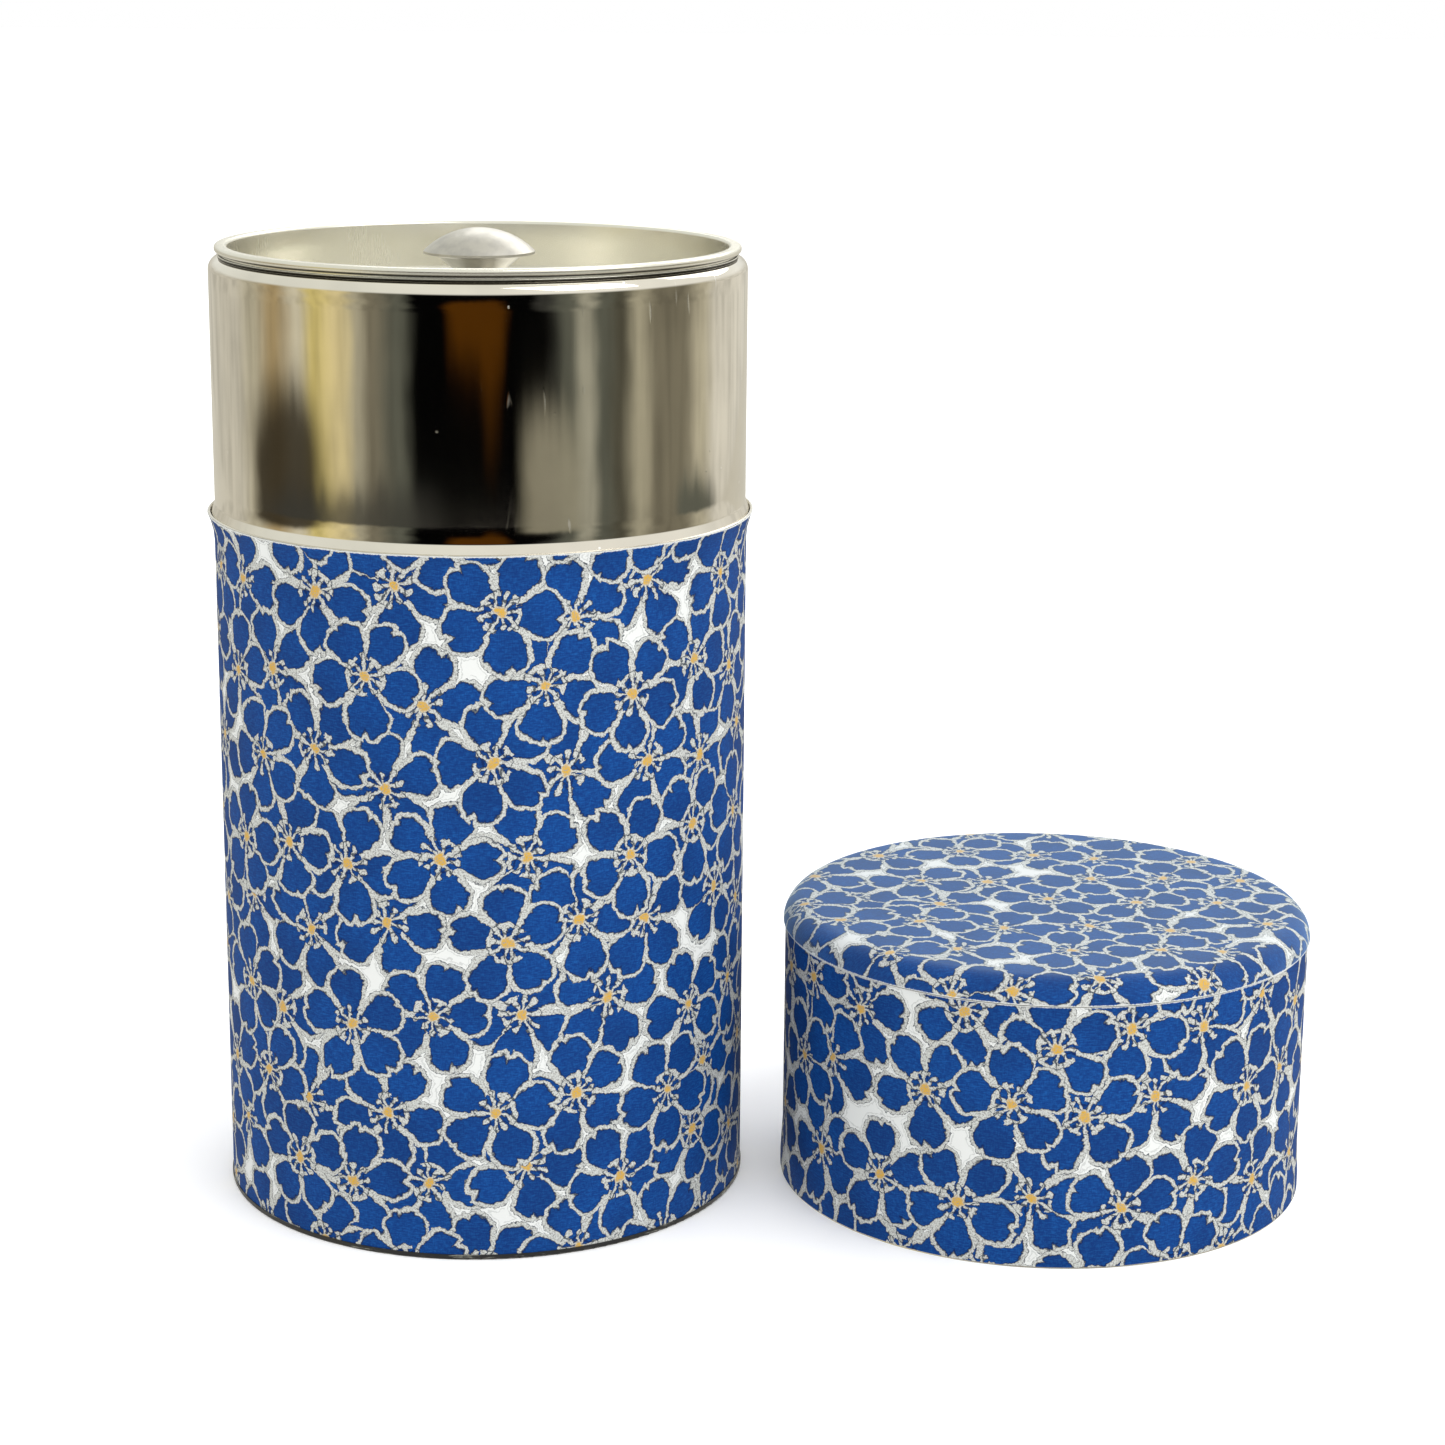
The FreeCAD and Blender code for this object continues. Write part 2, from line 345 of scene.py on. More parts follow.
class DiscSheet:
    """Paper over the cap's top. Distances along it run from its edge to its centre."""

    def __init__(self, section):
        self.reach = length_along(section) / MM

    def on_print(self, angle, along):
        reach = self.reach - along / MM
        return reach * cos(angle), reach * sin(angle)

    def on_picture(self, share, middle, along, outside):
        """The outside fills the picture, and the inside is small in a corner."""
        if outside:
            centre, reach = DISC_CENTRE, DISC_REACH * (1 - min(along, 1))
        else:
            centre, reach = INSIDE_CENTRE, INSIDE_REACH * (along - 1)
        return centre + reach * cos(2 * pi * share), centre + reach * sin(2 * pi * share)

    def from_raw_edge(self, x, y):
        return length_of(x, y) * -1 + self.reach


def wander(angle, height, scale, seed):
    """Smooth noise from -1 to 1 round the piece; scale is bumps per radian or per 40 mm."""
    return noise.noise(Vector((cos(angle) * scale, sin(angle) * scale,
                               height / (40 * MM) * scale + seed)))


# ---- Node arithmetic -------------------------------------------------------------------------

class Value:
    """A socket of a node tree; arithmetic on it makes Math nodes."""

    def __init__(self, tree, socket):
        self.tree, self.socket = tree, socket

    def math(self, operation, *others):
        node = self.tree.nodes.new("ShaderNodeMath")
        node.operation = operation
        for socket, value in zip(node.inputs, (self,) + others):
            plug(self.tree, value, socket)
        return Value(self.tree, node.outputs[0])

    def __neg__(self):
        return self * -1

    def between(self, low, high, to_low=0.0, to_high=1.0):
        """Smooth step from to_low at low to to_high at high."""
        node = self.tree.nodes.new("ShaderNodeMapRange")
        node.interpolation_type = "SMOOTHSTEP"
        for name, value in (("Value", self), ("From Min", low), ("From Max", high),
                            ("To Min", to_low), ("To Max", to_high)):
            plug(self.tree, value, node.inputs[name])
        return Value(self.tree, node.outputs["Result"])


# each of these methods and operators of a Value makes the Math node of that name
for method, operation in (
        ("__add__", "ADD"), ("__sub__", "SUBTRACT"), ("__mul__", "MULTIPLY"),
        ("__truediv__", "DIVIDE"), ("__mod__", "FLOORED_MODULO"), ("__lt__", "LESS_THAN"),
        ("__gt__", "GREATER_THAN"), ("__abs__", "ABSOLUTE"), ("least", "MINIMUM"),
        ("most", "MAXIMUM"), ("floor", "FLOOR"), ("round", "ROUND"), ("cos", "COSINE"),
        ("sin", "SINE"), ("sqrt", "SQRT")):
    setattr(Value, method, lambda self, *others, kind=operation: self.math(kind, *others))


def plug(tree, value, socket):
    """Links a Value or a node's socket, or sets a plain number, vector or colour."""
    if isinstance(value, Value):
        tree.links.new(value.socket, socket)
    elif isinstance(value, bpy.types.NodeSocket):
        tree.links.new(value, socket)
    elif value is not None:
        if hasattr(socket.default_value, "__len__") and not hasattr(value, "__len__"):
            value = (value,) * len(socket.default_value)
        elif socket.type == "RGBA" and len(value) == 3:
            value = (*value, 1)
        socket.default_value = value


def add_node(tree, kind, settings=None, **inputs):
    """A new node with its properties and inputs set; input names use _ for spaces."""
    node = tree.nodes.new(kind)
    for key, value in (settings or {}).items():
        setattr(node, key, value)
    for key, value in inputs.items():
        plug(tree, value, node.inputs[key.replace("_", " ")])
    return node


def length_of(x, y):
    return (x * x + y * y).sqrt()


def split(tree, vector):
    node = add_node(tree, "ShaderNodeSeparateXYZ", Vector=vector)
    return [Value(tree, node.outputs[i]) for i in range(3)]


def vector_of(tree, x, y, z):
    node = add_node(tree, "ShaderNodeCombineXYZ", X=x, Y=y, Z=z)
    return Value(tree, node.outputs[0])


def random_of(tree, vector):
    """(three random numbers, a fourth) that depend only on the vector."""
    node = add_node(tree, "ShaderNodeTexWhiteNoise", {"noise_dimensions": "3D"}, Vector=vector)
    parts = add_node(tree, "ShaderNodeSeparateColor", Color=node.outputs["Color"])
    return [Value(tree, parts.outputs[i]) for i in range(3)] + [Value(tree, node.outputs["Value"])]


def noise_of(tree, vector, scale, detail=2.0, rough=0.5, color=False):
    node = add_node(tree, "ShaderNodeTexNoise", Vector=vector, Scale=scale, Detail=detail,
                    Roughness=rough)
    return Value(tree, node.outputs["Color" if color else "Fac"])


def specks_of(tree, vector, scale):
    """The distance to the nearest of many scattered points."""
    node = add_node(tree, "ShaderNodeTexVoronoi", {"feature": "F1"}, Vector=vector, Scale=scale)
    return Value(tree, node.outputs["Distance"])


def stretched(tree, vector, scale):
    node = add_node(tree, "ShaderNodeMapping", Vector=vector, Scale=scale)
    return Value(tree, node.outputs[0])


def blended(tree, factor, a, b, kind="RGBA"):
    """a where factor is 0 and b where it is 1."""
    node = tree.nodes.new("ShaderNodeMix")
    node.data_type = kind
    sockets = {s.identifier: s for s in node.inputs}
    suffix = {"RGBA": "Color", "VECTOR": "Vector"}[kind]
    plug(tree, factor, sockets["Factor_Float"])
    plug(tree, a, sockets[f"A_{suffix}"])
    plug(tree, b, sockets[f"B_{suffix}"])
    return Value(tree, {s.identifier: s for s in node.outputs}[f"Result_{suffix}"])


# ---- The blossom print -----------------------------------------------------------------------

# Lengths are in mm on the sheet.
COLUMN = 13.0                # spacing of the blossoms
ROW = 12.3
SCATTER_X = 3.0              # how far a blossom may lie from its place
SCATTER_Y = 2.5
PETALS = 5
PETAL_TIP = 8.5              # from the blossom's centre
PETAL_TIP_SPREAD = 1.3       # how much it varies from petal to petal
PETAL_BROADEST = 5.9
PETAL_BASE = 1.6
PETAL_HALF_WIDTH = 2.95
PETAL_WIDTH_SPREAD = 0.7
PETAL_TAPER = 0.42           # how much narrower the petal's foot is
PETAL_LEAN = 0.2             # radians
NICK = 1.35                  # depth of the nick in a petal's tip
NICK_STEEPNESS = 1.25
NICK_SHIFT = 2.2             # how far it may lie off the petal's middle
OUTLINE = 0.76
WEB_REACH = 7.2              # the outlines of a blossom's petals run together this far out
WEB = 0.26
STAMENS = 9
STAMEN_LENGTH = 2.55
STAMEN_SPREAD = 1.0
STAMEN_LEAN = 0.24           # radians
STAMEN_TURN = 0.37           # of the gap between two, so that they don't line up with the petals
STAMEN_BLOB = 0.5
FILAMENT = 0.2               # half its width, which grows outwards
FILAMENT_GROWTH = 0.055
ARC_BEYOND = 0.2             # some neighbouring stamens are joined by an arc, past their ends
ARC = 0.36                   # half its width
NOWHERE = 9                  # added to the distance of what isn't drawn
CORE = 2.5
CENTRE = 0.68
CONTOUR_GAP = 0.3            # a second fine line follows the outline across the cream
CONTOUR = 0.16
RIM = 0.21                   # the dark edge of every outline
WOBBLE = 1.7                 # how far the print's edges wander, and their fine jaggedness
JAG = 0.42


def new_group(name, inputs, outputs):
    tree = bpy.data.node_groups.new(name, "ShaderNodeTree")
    for label, kind in inputs:
        tree.interface.new_socket(label, in_out="INPUT", socket_type=kind)
    for label, kind in outputs:
        tree.interface.new_socket(label, in_out="OUTPUT", socket_type=kind)
    return tree, tree.nodes.new("NodeGroupInput"), tree.nodes.new("NodeGroupOutput")


def varied(value, spread, share):
    """The value with a random share of its spread on it."""
    return share * spread + (value - spread / 2)


def blossom_group():
    """One blossom: from a point on the sheet and the blossom's place in the lattice, what is
    printed there. Rank is 0 outside the blossom, and otherwise says which lies on top."""
    scalar, vector = "NodeSocketFloat", "NodeSocketVector"
    tree, given, out = new_group("blossom", [("Point", vector), ("Cell", vector)],
                                 [("Rank", scalar), ("Inks", vector), ("Outside", scalar)])
    x, y, _ = split(tree, given.outputs["Point"])
    column, row, seed = split(tree, given.outputs["Cell"])
    shift_x, shift_y, spin, order = random_of(tree, given.outputs["Cell"])
    x = x - (column + (row % 2) * 0.5) * COLUMN - (shift_x - 0.5) * (2 * SCATTER_X)
    y = y - row * ROW - (shift_y - 0.5) * (2 * SCATTER_Y)
    reach = length_of(x, y)
    heading = y.math("ARCTAN2", x) + spin * (2 * pi)

    # the nearest petal, each of its own size and lean
    turns = heading / (2 * pi / PETALS)
    petal = turns.round()
    longer, wider, leaning, nicked = random_of(
        tree, vector_of(tree, column, row, seed + (petal % PETALS) * 3.7 + 11))
    lean = (turns - petal) * (2 * pi / PETALS) + (leaning - 0.5) * PETAL_LEAN
    out_along, across = reach * lean.cos(), reach * lean.sin()
    tip = varied(PETAL_TIP, PETAL_TIP_SPREAD, longer)
    past = out_along - PETAL_BROADEST
    half_length = (past > 0) * (tip - PETAL_BROADEST * 2 + PETAL_BASE) \
        + (PETAL_BROADEST - PETAL_BASE)
    half_width = varied(PETAL_HALF_WIDTH, PETAL_WIDTH_SPREAD, wider)
    u = past / half_length
    v = across / half_width / (u.least(0) * PETAL_TAPER + 1).most(0.4)
    roundness = length_of(u, v)
    slope = length_of(u / half_length, v / half_width).most(0.02)
    petal_edge = roundness * (roundness - 1) / slope
    nick = (out_along - tip + nicked * (NICK * 0.5) + NICK * 0.5
            - abs(across - (leaning - 0.5) * NICK_SHIFT) * NICK_STEEPNESS) * 0.6
    petal_edge = petal_edge.most(nick)

    # the stamens: filaments with blobs, some joined by an arc, over a blue core
    spokes = heading / (2 * pi / STAMENS) + STAMEN_TURN
    spoke = spokes.round()
    longer, leaning, joined, _ = random_of(
        tree, vector_of(tree, column, row, seed + (spoke % STAMENS) * 1.9 + 71))
    lean = (spokes - spoke) * (2 * pi / STAMENS) + (leaning - 0.5) * STAMEN_LEAN
    out_along, across = reach * lean.cos(), abs(reach * lean.sin())
    stamen = varied(STAMEN_LENGTH, STAMEN_SPREAD, longer)
    filament = (across - FILAMENT - reach * FILAMENT_GROWTH).most(out_along - stamen)
    blob = length_of(out_along - stamen, across) - STAMEN_BLOB
    arc = abs(reach - STAMEN_LENGTH - ARC_BEYOND) - ARC + (joined > order * 0.5 + 0.2) * NOWHERE
    stamens = filament.least(blob).least(arc).least(reach - (CENTRE + 0.3))

    outline = (reach * -1 + WEB_REACH).most(0) * WEB + OUTLINE
    outside = (petal_edge - outline).least(reach - (STAMEN_LENGTH + 0.35)).least(blob - 0.1)
    blue = (petal_edge.least(reach - CORE)).between(0.02, -0.02) * stamens.between(-0.02, 0.02)
    gold = (reach - CENTRE).between(0.3, -0.1)
    nearest_edge = abs(petal_edge).least(abs(stamens) * 1.7).least(abs(outside) * 1.6)
    rim = nearest_edge.between(RIM, RIM * 0.3)
    inks = vector_of(tree, blue, gold, rim)
    for name, value in (("Rank", (outside < 0) * (order + 0.1)), ("Inks", inks),
                        ("Outside", outside)):
        plug(tree, value, out.inputs[name])
    return tree


def print_group():
    """The whole print: the topmost of the blossoms whose reach covers the point."""
    scalar, vector = "NodeSocketFloat", "NodeSocketVector"
    blossom = blossom_group()
    tree, given, out = new_group("blossom_print", [("Point", vector), ("Seed", scalar)],
                                 [("Blue", scalar), ("Silver", scalar), ("Gold", scalar),
                                  ("Rim", scalar), ("Contour", scalar)])
    point = given.outputs["Point"]
    ragged = noise_of(tree, point, 0.5, detail=2, rough=0.6, color=True)
    fine = noise_of(tree, point, 3.2, detail=1, rough=0.5, color=True)
    moved = point
    for shift, amount in ((ragged, WOBBLE), (fine, JAG)):
        mover = add_node(tree, "ShaderNodeVectorMath", {"operation": "MULTIPLY_ADD"})
        for socket, value in zip(mover.inputs, (shift, (amount, amount, 0), moved)):
            plug(tree, value, socket)
        moved = Value(tree, mover.outputs[0])
    x, y, _ = split(tree, moved)
    seed = Value(tree, given.outputs["Seed"])
    best, inks, outside = None, None, None
    for up in (0, 1):
        row = (y / ROW).floor() + up
        for right in (0, 1):
            column = (x / COLUMN - (row % 2) * 0.5).floor() + right
            cell = vector_of(tree, column, row, seed)
            node = add_node(tree, "ShaderNodeGroup", {"node_tree": blossom}, Point=moved, Cell=cell)
            rank, these, apart = (Value(tree, node.outputs[i]) for i in range(3))
            if best is None:
                best, inks, outside = rank, these, apart
                continue
            inks = blended(tree, rank > best, inks, these, "VECTOR")
            best, outside = best.most(rank), outside.least(apart)
    blue, gold, rim = split(tree, inks)
    inside = best > 0
    contour = abs(outside - (CONTOUR_GAP + CONTOUR / 2)) < CONTOUR / 2
    for name, value in (("Blue", blue * inside), ("Silver", inside), ("Gold", gold * inside),
                        ("Rim", rim * inside), ("Contour", contour)):
        plug(tree, value, out.inputs[name])
    return tree


def new_material(name, view_color):
    """(material, its node tree, its Principled shader, its object coordinates)."""
    material = bpy.data.materials.new(name)
    material.use_nodes = True
    material.diffuse_color = (*view_color, 1)
    tree = material.node_tree
    shader = tree.nodes["Principled BSDF"]
    place = add_node(tree, "ShaderNodeTexCoord").outputs["Object"]
    return material, tree, shader, place


def bumped(tree, shader, height, distance, strength, under=None):
    node = add_node(tree, "ShaderNodeBump", Height=height, Distance=distance, Strength=strength)
    if under:
        tree.links.new(under.outputs["Normal"], node.inputs["Normal"])
    tree.links.new(node.outputs["Normal"], shader.inputs["Normal"])
    return node


CREAM = (0.645, 0.655, 0.63)
CONTOUR_GREY = (0.50, 0.51, 0.49)
SILVER = (0.54, 0.555, 0.525)
SILVER_DARK = (0.22, 0.21, 0.195)
BLUE = (0.001, 0.034, 0.175)
BLUE_LIGHT = (0.006, 0.078, 0.285)
BLUE_DARK = (0.001, 0.014, 0.08)
GOLD = (0.57, 0.335, 0.045)
INK_EDGE = (0.035, 0.045, 0.06)
BARE_EDGE = 0.22             # mm of unprinted fibres along a sheet's raw edge


def paper_material(name, printed, seed, laid, sheen=0.0):
    """Matte paper with the print: laid fibres in the blue, specks of mica in the silver."""
    material, tree, shader, _ = new_material(name, BLUE)
    sheet_map = add_node(tree, "ShaderNodeUVMap", {"uv_map": "sheet"}).outputs[0]
    inks = add_node(tree, "ShaderNodeGroup", {"node_tree": printed}, Point=sheet_map, Seed=seed)
    blue, silver, gold, rim, contour = (Value(tree, inks.outputs[i]) for i in range(5))
    fibres = noise_of(tree, stretched(tree, sheet_map, (0.8, 3.4, 1)), 1.3, detail=3, rough=0.7)
    cross_fibres = noise_of(tree, stretched(tree, sheet_map, (3.4, 0.9, 1)), 1.5, detail=2,
                            rough=0.6)
    clouds = noise_of(tree, sheet_map, 0.09, detail=2, rough=0.5)
    specks = noise_of(tree, sheet_map, 3.6, detail=2, rough=0.75)
    across, up, _ = split(tree, sheet_map)
    bare = (laid.from_raw_edge(across, up) + (specks - 0.5) * 0.5).between(BARE_EDGE, 0)

    blue_ink = blended(tree, (fibres * 0.7 + cross_fibres * 0.3).between(0.42, 0.66), BLUE,
                       BLUE_LIGHT)
    blue_ink = blended(tree, clouds.between(0.35, 0.7, 0, 0.35), blue_ink, BLUE_DARK)
    silver_ink = blended(tree, specks.between(0.54, 0.40, 0, 0.85), SILVER, SILVER_DARK)
    cream = blended(tree, contour, CREAM, CONTOUR_GREY)
    color = blended(tree, silver, cream, silver_ink)
    color = blended(tree, gold * specks.between(0.38, 0.52, 0.2, 1), color, GOLD)
    color = blended(tree, rim * 0.92, color, INK_EDGE)
    color = blended(tree, blue, color, blended(tree, rim * 0.9, blue_ink, BLUE_DARK))
    plug(tree, blended(tree, bare, color, CREAM), shader.inputs["Base Color"])
    mica = silver * (blue * -1 + 1)
    plug(tree, mica * specks.between(0.4, 0.6, 0.0, 0.16), shader.inputs["Metallic"])
    plug(tree, mica * -0.16 + fibres * 0.12 + 0.6, shader.inputs["Roughness"])
    shader.inputs["Specular IOR Level"].default_value = 0.11
    shader.inputs["Sheen Weight"].default_value = sheen
    shader.inputs["Sheen Roughness"].default_value = 0.45
    shader.inputs["Sheen Tint"].default_value = (0.55, 0.8, 1.0, 1)
    under = bumped(tree, shader, fibres * 0.6 + cross_fibres * 0.4, 0.02 * MM, 0.5)
    bumped(tree, shader, mica, 0.01 * MM, 0.5, under)
    return material


# ---- Metals ------------------------------------------------------------------------------------

def round_place(tree, place, axis):
    """(heading in radians, height in metres) on a turned piece, from its object coordinates."""
    x, y, z = split(tree, place)
    heading = (y - axis[1]).math("ARCTAN2", x - axis[0])
    return heading, z


GRAIN_ROUND = 900 / 22        # how finely the grain changes round a piece and along it
GRAIN_ALONG = GRAIN_ROUND * 0.35
WORN_TIN = (0.93, 0.92, 0.9)
TURNED_ALUMINIUM = (0.55, 0.53, 0.48)
DULL_ALUMINIUM = (0.37, 0.36, 0.345)
TOOL_PITCH = 0.22 * MM
# painted shade for the base rim, near black, and the tin that shows in patches on it
RIM_SHADE_BLACK = (0.012, 0.012, 0.013)
RIM_TIN = (0.42, 0.42, 0.36)
# painted shade for narrow seams: its colour, and how far from a seam it reaches
PAINTED_SEAM_SHADE = (0.03, 0.025, 0.018)
PAINTED_SEAM_SHADE_REACH = 0.24 * MM


def grain_of(tree, heading, z):
    """Fine grain that runs along the axis: changes fast round the piece, slowly in height."""
    where = vector_of(tree, heading.cos() * GRAIN_ROUND, heading.sin() * GRAIN_ROUND,
                      z * GRAIN_ALONG)
    return noise_of(tree, where, 9, detail=3, rough=0.7)


def tin_material(name, color, roughness, axis=TIN_AXIS, mirror=False, worn=1.0, seams=None):
    """Tinplate: rolling grain along the axis, cloudy finish, specks and light scratches.

    seams is (least radius, heights) of narrow seams on the outside, where shade is painted in as
    dark lines.
    """
    material, tree, shader, place = new_material(name, color)
    heading, z = round_place(tree, place, axis)
    grain = grain_of(tree, heading, z)
    clouds = noise_of(tree, place, 60, detail=3, rough=0.6)
    speck = specks_of(tree, place, 420).between(0.12, 0.05)
    sparse = noise_of(tree, place, 95, detail=1, rough=0.5).between(0.62, 0.72)
    scratch_place = stretched(tree, place, (1, 1, 0.16))
    scratches = noise_of(tree, scratch_place, 700, detail=1, rough=0.4).between(0.71, 0.76) \
        * noise_of(tree, place, 40, detail=1, rough=0.5).between(0.5, 0.62)
    wear = (speck * sparse).most(scratches * 0.7) * worn
    darker = tuple(c * 0.8 for c in color)
    base = blended(tree, clouds.between(0.35, 0.7, 0, 0.6 * worn), color, darker)
    base = blended(tree, wear, base, WORN_TIN)
    # painted shade: dark lines along the seams outside stand in for the shadow in their crevices
    if seams:
        least_radius, heights = seams
        x, y, _ = split(tree, place)
        outside = length_of(x - axis[0], y - axis[1]) > least_radius
        for height in heights:
            line = abs(z - height).between(PAINTED_SEAM_SHADE_REACH, PAINTED_SEAM_SHADE_REACH * 0.5, 0, 0.93) * outside
            base = blended(tree, line, base, PAINTED_SEAM_SHADE)
    plug(tree, base, shader.inputs["Base Color"])
    shader.inputs["Metallic"].default_value = 1.0
    plug(tree, clouds.between(0.3, 0.75, roughness * 0.9, roughness * 1.2)
         + grain * (roughness * 0.35) + wear * 0.25, shader.inputs["Roughness"])
    depth, strength = (0.004 * MM, 0.2) if mirror else (0.008 * MM, 0.5)
    under = bumped(tree, shader, grain, depth, strength)
    bumped(tree, shader, wear, 0.02 * MM, 0.5, under)
    return material


def aluminium_material(name):
    """Turned aluminium with a fine stipple and a faint rings from the tool."""
    material, tree, shader, place = new_material(name, TURNED_ALUMINIUM)
    x, y, _ = split(tree, place)
    reach = length_of(x, y)
    stipple = noise_of(tree, place, 2600, detail=2, rough=0.6)
    blotches = noise_of(tree, place, 330, detail=3, rough=0.6)
    rings = (reach * (2 * pi / TOOL_PITCH)).sin() * 0.5 + 0.5
    pits = specks_of(tree, place, 260).between(0.13, 0.06) \
        * noise_of(tree, place, 140, detail=1, rough=0.5).between(0.56, 0.64)
    dull = blotches.between(0.35, 0.7, 0, 0.5).most(pits)
    plug(tree, blended(tree, dull, TURNED_ALUMINIUM, DULL_ALUMINIUM), shader.inputs["Base Color"])
    shader.inputs["Metallic"].default_value = 1.0
    plug(tree, stipple * 0.16 + blotches * 0.12 + 0.24, shader.inputs["Roughness"])
    bumped(tree, shader, stipple * 0.8 + rings * 0.2 - pits, 0.03 * MM, 0.55)
    return material


def dark_tin_material(name):
    """The crimped base rim: painted shade, near black, with patches of bare tin along its edge."""
    material, tree, shader, place = new_material(name, (0.03, 0.03, 0.03))
    heading, z = round_place(tree, place, TIN_AXIS)
    where = vector_of(tree, heading.cos() * 3, heading.sin() * 3, z * 900)
    tin_patches = noise_of(tree, where, 2.2, detail=3, rough=0.7)
    fine = noise_of(tree, place, 900, detail=2, rough=0.6)
    bare = tin_patches.between(0.56, 0.7) * fine.between(0.35, 0.6)
    # painted shade: the rim is coloured near black for the shade and dark reflections it shows,
    # with bare tin in patches
    plug(tree, blended(tree, bare, RIM_SHADE_BLACK, RIM_TIN), shader.inputs["Base Color"])
    plug(tree, bare, shader.inputs["Metallic"])
    plug(tree, fine * 0.2 + 0.3, shader.inputs["Roughness"])
    bumped(tree, shader, fine, 0.01 * MM, 0.4)
    return material


# ---- Pieces ------------------------------------------------------------------------------------

def place_piece(piece, body, node, material):
    piece.data.materials.append(material)
    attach(piece, body)
    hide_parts(node)


def seam_step(angle, radius, width):
    """1 on the doubled paper beside the seam, running out past it, and 0 elsewhere."""
    across = ((angle - BACK + pi) % (2 * pi) - pi) * radius
    if across < 0:
        return 0.0
    return max(0.0, min(1.0, (width - across) / overlap_run_out))


def seam_angles(radius):
    """Extra stations so that the overlap's edges are crisp."""
    return [d * MM / radius for d in (0.05, 0.6, 3.8, 4.4, 5.0)]


printed = print_group()


def body_paper():
    path = [(can_radius, paper_bottom, 0), (can_radius, lip_height - lip_flare_height, lip_bend),
            (can_radius + lip_flare, lip_height, 0)]
    visible, hidden = pressed(shifted(path, paper), paper)
    top = lip_height - ragged_band

    def warp(r, z, angle):
        edge = max(0.0, (z - top) / (lip_height - top))
        waves, fibres = wander(angle, 0, scale=9, seed=3), wander(angle, 0, scale=31, seed=5)
        z -= ragged_depth * edge * max(0.0, 0.5 + 0.5 * waves + 0.25 * fibres)
        if r > can_radius + paper / 2 and z < lip_height - lip_flare_height - 1 * MM:
            r += paper * seam_step(angle, can_radius, overlap_width)
        return r + paper_ripple * (wander(angle, z, scale=5, seed=1) - 1), z

    laid = WrappedSheet(can_radius + paper, visible)
    piece = turned("body_paper_wrap", visible, hidden, TIN_AXIS,
                   stations(AROUND, seam_angles(can_radius)), warp, laid)
    place_piece(piece, "tin", "body_paper",
                paper_material("washi_body", printed, 3.0, laid))


def collar():
    lean = atan2(lip_flare, lip_flare_height)
    nose = lip_height - stop_bead_drop
    corner = nose - (nose_radius - can_bore) / tan(lean)
    path = [(can_bore, collar_bottom, 0), (can_bore, corner, lip_bend + sheet),
            (nose_radius, nose, stop_bead_round),
            (neck_radius, nose + stop_bead_rise, neck_bend),
            (neck_radius, collar_top, shoulder_bend), (mouth_radius, collar_top, mouth_bend),
            (mouth_radius, collar_top - mouth_depth, 0)]
    visible, hidden = pressed(path, sheet, 2.5 * MM)

    def warp(r, z, angle):
        if z < lip_height:
            return r - 0.01 * MM, z
        swell = min(1.0, (z - lip_height) / (6 * MM), (collar_top - z) / (6 * MM) + 0.15)
        wave = 0.020 * wander(angle, z * 0.35, scale=2.6, seed=7) \
            + 0.006 * wander(angle, z * 0.5, scale=8, seed=2)
        return r + MM * (wave * swell - 0.012), z

    piece = turned("collar_neck_sleeve", visible, hidden, TIN_AXIS, stations(AROUND), warp)
    place_piece(piece, "tin", "collar_sleeve",
                tin_material("tinplate_bright", (0.83, 0.79, 0.71), 0.034, mirror=True))


def inner_lid():
    hem_bottom = collar_top + lid_seat_gap
    bead_bottom = bead_top - bead_height
    groove = bead_radius - curl_groove_depth
    path = [(rivet_radius, dish_floor, 0), (dish_radius, dish_floor, dish_bend),
            (dish_radius, bead_top, bead_round), (bead_radius, bead_top, bead_round),
            (bead_radius, bead_bottom, bead_round), (groove, bead_bottom, 0),
            (groove, bead_bottom - hem_groove, 0),
            (plug_radius + hem_width, bead_bottom - hem_groove, hem_round),
            (plug_radius + hem_width, hem_bottom, hem_round), (plug_radius, hem_bottom, 0),
            (plug_radius, dish_bottom, dish_bend + sheet), (rivet_radius, dish_bottom, 0)]
    section = subdivided(rounded(path, radians(12)), LONGEST_STEP)

    def warp(r, z, angle):
        if z < bead_bottom - hem_groove / 2 or r < dish_radius - MM / 2:
            return r, z
        wave = 0.012 * wander(angle, 0, scale=3.5, seed=4) \
            + 0.004 * wander(angle, 0, scale=24, seed=6)
        nick = max(0.0, wander(angle, 0, scale=55, seed=9) - 0.5) * 0.25
        nick *= max(0.0, cos(angle - NICKED_SIDE))
        return r + MM * (wave - nick - 0.02), z - MM * (nick * 0.5 + 0.01)

    piece = turned("inner_lid_pan", section[:-1], section[-1:], TIN_AXIS, stations(AROUND), warp)
    # the dark lines at the hem's foot and under the bead are painted shade
    place_piece(piece, "inner_lid", "inner_lid_dish",
                tin_material("tinplate_satin", (0.82, 0.80, 0.715), 0.2, worn=0.15,
                             seams=(dish_radius + bead_width / 4, (hem_bottom, bead_bottom))))


